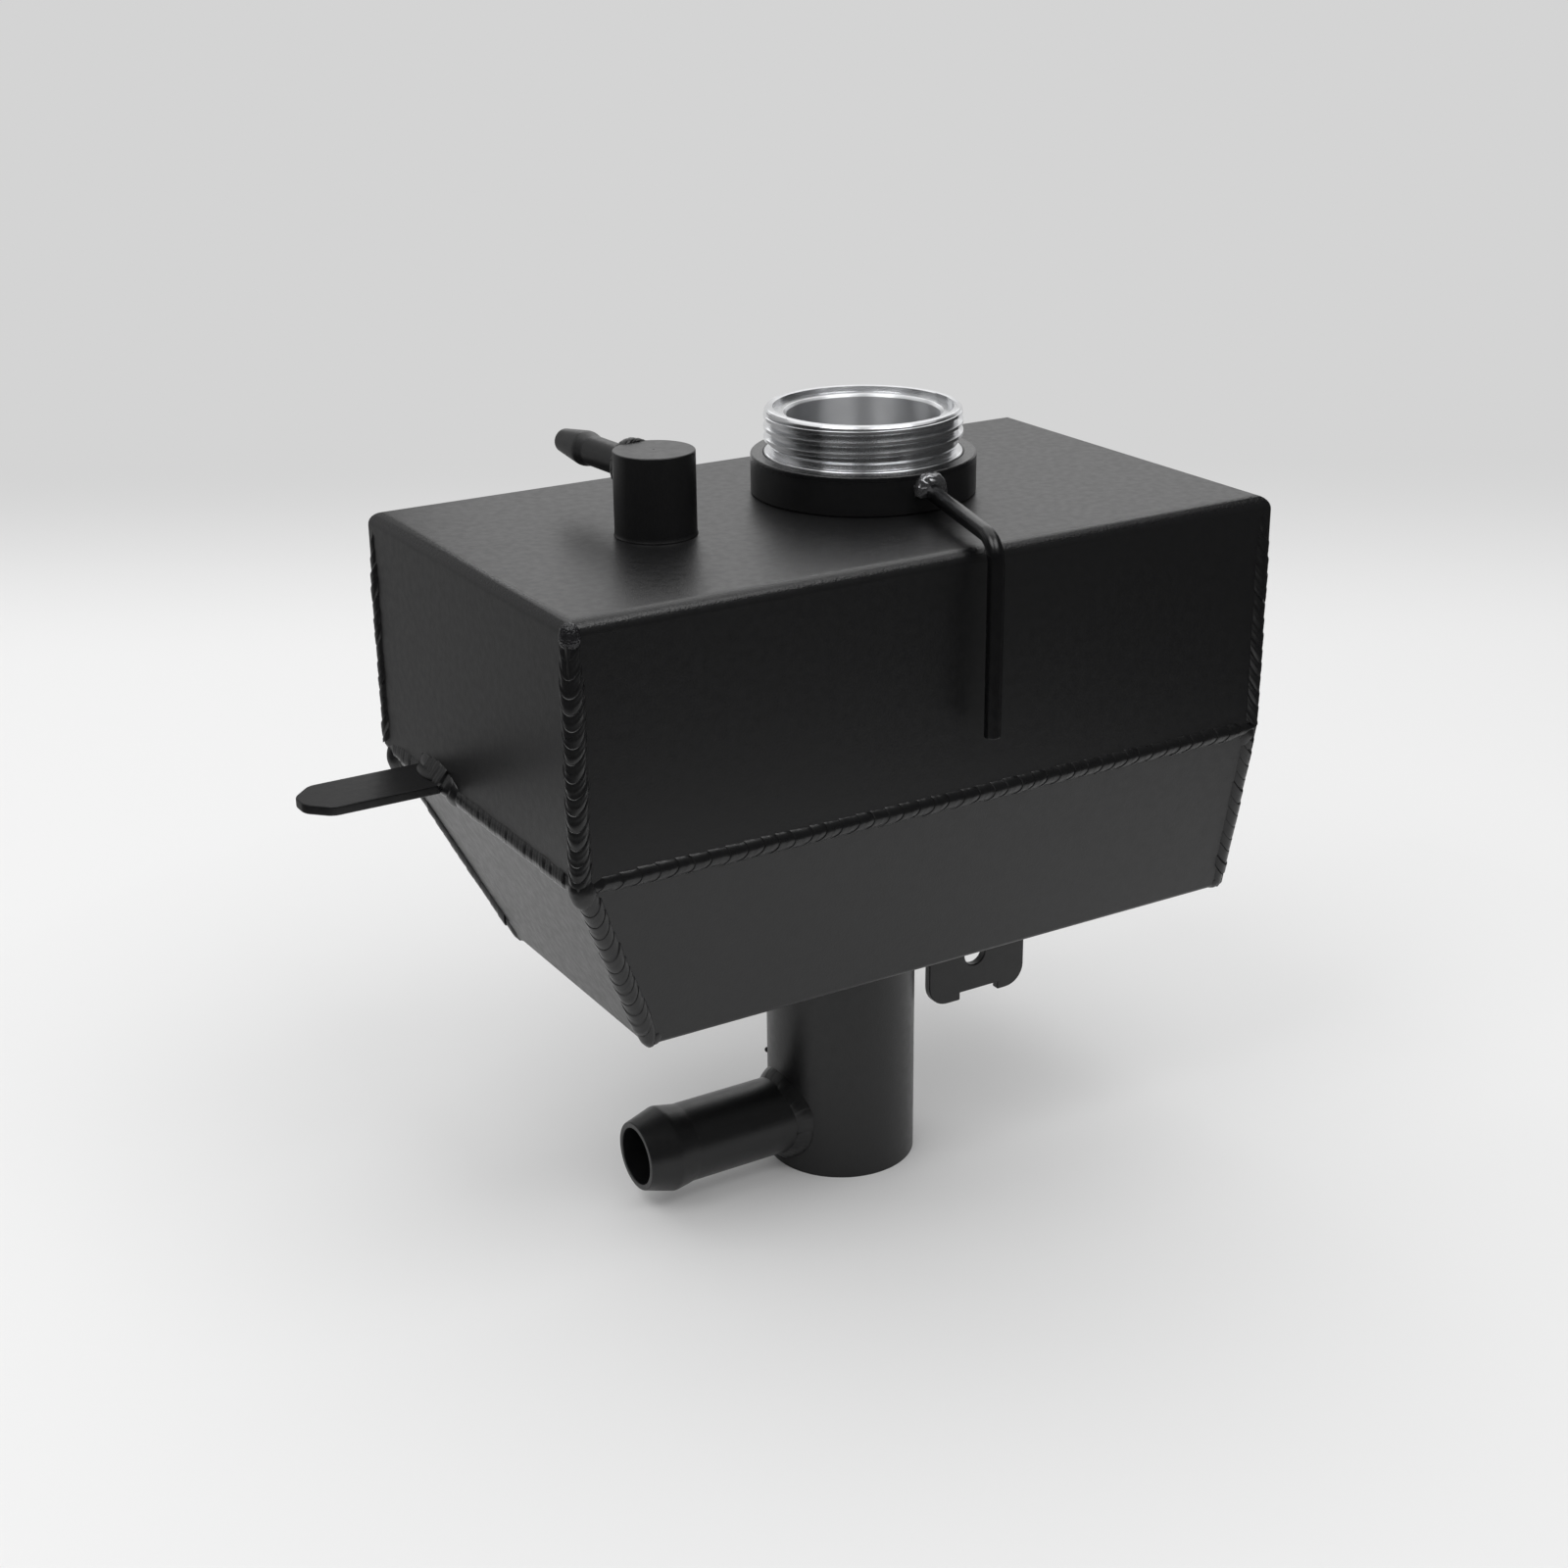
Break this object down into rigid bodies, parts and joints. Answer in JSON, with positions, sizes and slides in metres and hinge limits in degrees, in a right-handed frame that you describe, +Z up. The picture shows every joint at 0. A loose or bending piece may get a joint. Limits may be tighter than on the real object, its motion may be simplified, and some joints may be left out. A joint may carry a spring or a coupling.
{
  "type": "coolant expansion tank",
  "caption": "Welded sheet-metal coolant expansion tank with a screw filler neck, hose tails, a tab and a bolt bracket, standing on a round base tube.",
  "frame": {"origin": "centre of the base tube's lower end, on the plane that the tank stands on", "axes": "+Z up along the base tube; +X along the tank's long side, away from the side hose tail; +Y from the overflow pipe's side to the rear"},
  "size_m": [0.2347, 0.1221, 0.2025],
  "materials": {
    "black_coat": "satin black powder coat with a fine grain",
    "coated_weld": "satin black powder coat over rippled weld beads",
    "bare_aluminium": "bare turned aluminium, bright"
  },
  "bodies": {
    "root": {"upper_shell": "black_coat", "lower_hopper": "black_coat", "base_tube": "black_coat", "base_tube_end_plug": "black_coat", "side_hose_tail": "black_coat", "filler_collar": "black_coat", "filler_neck": "bare_aluminium", "overflow_pipe": "black_coat", "vent_boss": "black_coat", "vent_hose_tail": "black_coat", "side_tab": "black_coat", "bottom_bracket": "black_coat", "tab_weld": "coated_weld", "bracket_weld": "coated_weld", "base_tube_weld": "coated_weld", "side_tail_weld": "coated_weld", "vent_tail_weld": "coated_weld", "overflow_pipe_weld": "coated_weld", "seam_weld_front": "coated_weld", "seam_weld_rear": "coated_weld", "seam_weld_left": "coated_weld", "seam_weld_right": "coated_weld", "upper_corner_weld_front_left": "coated_weld", "hopper_corner_weld_front_left": "coated_weld", "upper_corner_weld_front_right": "coated_weld", "hopper_corner_weld_front_right": "coated_weld", "upper_corner_weld_rear_right": "coated_weld", "hopper_corner_weld_rear_right": "coated_weld", "upper_corner_weld_rear_left": "coated_weld", "hopper_corner_weld_rear_left": "coated_weld"}
  },
  "joints": []
}
